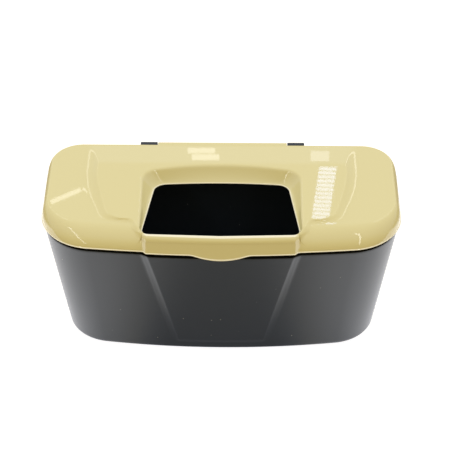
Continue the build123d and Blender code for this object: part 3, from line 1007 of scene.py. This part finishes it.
def white_sweep():
    """White paper floor: white where the camera sees it, and brightest beside the bin in what it mirrors."""
    material, tree, out = new_material("white_paper")
    face = add_node(tree, "ShaderNodeBsdfDiffuse", {"Color": linear("#B5A88A")})
    path = add_node(tree, "ShaderNodeLightPath", {})
    place = add_node(tree, "ShaderNodeTexCoord", {}).outputs["Object"]
    spot = add_node(tree, "ShaderNodeSeparateXYZ", {"Vector": place})
    ahead = add_node(tree, "ShaderNodeMath", {0: spot.outputs["Y"], 1: -glow_middle_y * MM}, operation="ADD")
    away = add_node(tree, "ShaderNodeMath", {0: ahead.outputs[0]}, operation="ABSOLUTE")
    near = add_node(tree, "ShaderNodeMapRange", {"Value": away.outputs[0], "From Min": glow_end_y * MM,
                                                 "From Max": glow_full_y * MM},
                    interpolation_type="SMOOTHSTEP")
    aside = add_node(tree, "ShaderNodeMath", {0: spot.outputs["X"]}, operation="ABSOLUTE")
    side = add_node(tree, "ShaderNodeMapRange", {"Value": aside.outputs[0], "From Min": glow_middle_x * MM,
                                                 "From Max": glow_beside_x * MM, "To Min": glow_middle,
                                                 "To Max": glow_beside},
                    interpolation_type="SMOOTHSTEP")
    close = add_node(tree, "ShaderNodeMath", {0: near.outputs["Result"], 1: side.outputs["Result"]},
                     operation="MULTIPLY")
    mirrored = add_node(tree, "ShaderNodeMath", {0: path.outputs["Is Glossy Ray"], 1: close.outputs[0]},
                        operation="MULTIPLY")
    lift = add_node(tree, "ShaderNodeMath", {0: path.outputs["Is Camera Ray"], 1: paper_white,
                                             2: mirrored.outputs[0]}, operation="MULTIPLY_ADD")
    plain = add_node(tree, "ShaderNodeMath", {0: path.outputs["Is Camera Ray"], 1: side.outputs["Result"]},
                     operation="MAXIMUM")
    tint = add_node(tree, "ShaderNodeMix", {"Factor": plain.outputs[0], COLOUR_A: linear("#86B4FF"),
                                            COLOUR_B: linear("#F6F8FF")}, data_type="RGBA")
    glow = add_node(tree, "ShaderNodeEmission", {"Color": tint.outputs[COLOUR_OUT],
                                                 "Strength": lift.outputs[0]})
    both = add_node(tree, "ShaderNodeAddShader", {0: face.outputs["BSDF"], 1: glow.outputs["Emission"]})
    tree.links.new(both.outputs["Shader"], out.inputs["Surface"])
    return material


def add_piece(piece, material, body, node):
    """Gives a piece its material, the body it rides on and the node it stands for."""
    piece.data.materials.clear()
    piece.data.materials.append(material)
    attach(piece, body)
    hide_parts(node)


def add_light(name, place, aim, size, glow, tilt=0.0, colour="#FFFFFF"):
    """Soft box of a given brightness that faces a point, hidden from the camera itself."""
    light = bpy.data.lights.new(name, "AREA")
    light.shape = "RECTANGLE"
    light.size, light.size_y = size
    light.color = linear(colour)[:3]
    light.energy = glow * math.pi * size[0] * size[1]
    lamp = bpy.data.objects.new(name, light)
    lamp.location = place
    facing = (Vector(place) - Vector(aim)).to_track_quat("Z", "Y") @ Quaternion((0, 0, 1), math.radians(tilt))
    lamp.rotation_euler = facing.to_euler()
    lamp.visible_camera = False
    bpy.context.scene.collection.objects.link(lamp)


beige, charcoal, black, steel = beige_abs(), charcoal_pp(), black_pp(), drawn_steel()

bm = bmesh.new()
lid_shell(bm)
hinge_roll(bm)
for side in (-1, 1):
    locating_rib(bm, side)
add_piece(finish_mesh(bm, "lid_moulding"), beige, "lid", "lid")

bm = bmesh.new()
tub_shell(bm)
for side in (-1, 1):
    hinge_ear(bm, side)
    hook_loop(bm, side)
add_piece(finish_mesh(bm, "tub_moulding"), charcoal, "tub", "bin_tub")

for name in ("left", "right"):
    pin = "hinge_pin_" + name
    add_piece(cad_copy(pin, pin + "_wire", pin_break), steel, "tub", pin)
    hook = "hanging_hook_" + name
    add_piece(cad_copy(hook, hook + "_moulding", hook_break), black, "tub", hook)

# Camera: a long lens above the front, aimed at the middle of the bin. From here on, places are in metres
camera_raise = math.radians(38)
camera_yaw = math.radians(0.6)
camera_distance = 1.2
camera_aim = Vector((0.0023, 0, 0.07))
level = math.cos(camera_raise)
back = Vector((math.sin(camera_yaw) * level, -math.cos(camera_yaw) * level, math.sin(camera_raise)))
lens = bpy.data.cameras.new("camera")
lens.lens = 144
lens.sensor_width = 36
camera = bpy.data.objects.new("camera", lens)
camera.location = camera_aim + back * camera_distance
camera.rotation_euler = back.to_track_quat("Z", "Y").to_euler()
bpy.context.scene.collection.objects.link(camera)
bpy.context.scene.camera = camera

# Sheet of paper under the bin
half = 6.0
floor_mesh = bpy.data.meshes.new("floor")
floor_corners = [(-half, -half, 0), (half, -half, 0), (half, half, 0), (-half, half, 0)]
floor_mesh.from_pydata(floor_corners, [], [(0, 1, 2, 3)])
floor = bpy.data.objects.new("floor", floor_mesh)
floor.data.materials.append(white_sweep())
bpy.context.scene.collection.objects.link(floor)

# White tent all round and above, left open and dim towards the front
tent_height_share = 0.7
tent_open = -0.9
tent_closed = 0.2
world = bpy.data.worlds.new("studio")
world.use_nodes = True
tent = world.node_tree
toward = add_node(tent, "ShaderNodeTexCoord", {}).outputs["Generated"]
split = add_node(tent, "ShaderNodeSeparateXYZ", {"Vector": toward})
height = add_node(tent, "ShaderNodeMath", {0: split.outputs["Z"], 1: tent_height_share,
                                           2: split.outputs["Y"]}, operation="MULTIPLY_ADD")
opening = add_node(tent, "ShaderNodeMapRange", {"Value": height.outputs[0], "From Min": tent_open,
                                                "From Max": tent_closed})
sheet = add_node(tent, "ShaderNodeValToRGB", {"Fac": opening.outputs["Result"]})
stops = sheet.color_ramp.elements
stops[0].color = linear("#9B7F00")
stops[1].color = linear("#FEFEFF")
stops.new(0.5).color = linear("#DBC68C")
stops.new(0.8).color = linear("#FBF7E2")
tent.links.new(sheet.outputs["Color"], tent.nodes["Background"].inputs["Color"])
bpy.context.scene.world = world
bpy.context.scene.view_settings.view_transform = "Standard"

# Upright strips behind and long rods in front, seen as lines along the lid's creases and corners.
# Each light has its place, the point that it faces, its width and height, and its glow
behind = 1.0
for side, name, glow in ((-1, "left", 1.3), (1, "right", 1.9)):
    add_light(name + "_strip", (side * 0.42, behind, 0.8), (side * 0.08, 0, 0.1), (0.1, 0.9), glow)
add_light("left_rod", (-0.52, -0.56, 0.83), (-0.085, -0.045, 0.098), (0.05, 1.18), 5.0, tilt=45)
add_light("right_rod", (0.40, -0.63, 0.885), (0.09, -0.045, 0.098), (0.05, 1.03), 5.0, tilt=-9.4)

# Small windows of a light grid behind the bin, mirrored in the lid's polish
grid_windows = 14
grid_start_x = 0.1327
grid_start_z = 0.914
grid_shift = 0.00056
grid_rise = 0.0074
for step in range(grid_windows):
    place = (grid_start_x - grid_shift * step, behind, grid_start_z + grid_rise * step)
    add_light(f"grid_{step}", place, (0.066, 0, 0.103), (0.024, 0.0042), 6.2, colour="#BACCFF")
lid_back = (-0.013, 0.035, 0.102)
add_light("back_patch_low", (-0.036, behind, 0.4534), lid_back, (0.034, 0.0065), 1.7)
add_light("back_patch_high", (-0.031, behind, 0.4622), lid_back, (0.034, 0.0075), 1.7)
add_light("right_patch", (0.111, behind, 0.46), (0.068, 0.035, 0.102), (0.023, 0.013), 1.4, colour="#E2E8FF")
add_light("left_streak", (-0.226, behind, 0.866), (-0.102, -0.01, 0.101), (0.048, 0.006), 2.8, tilt=19)
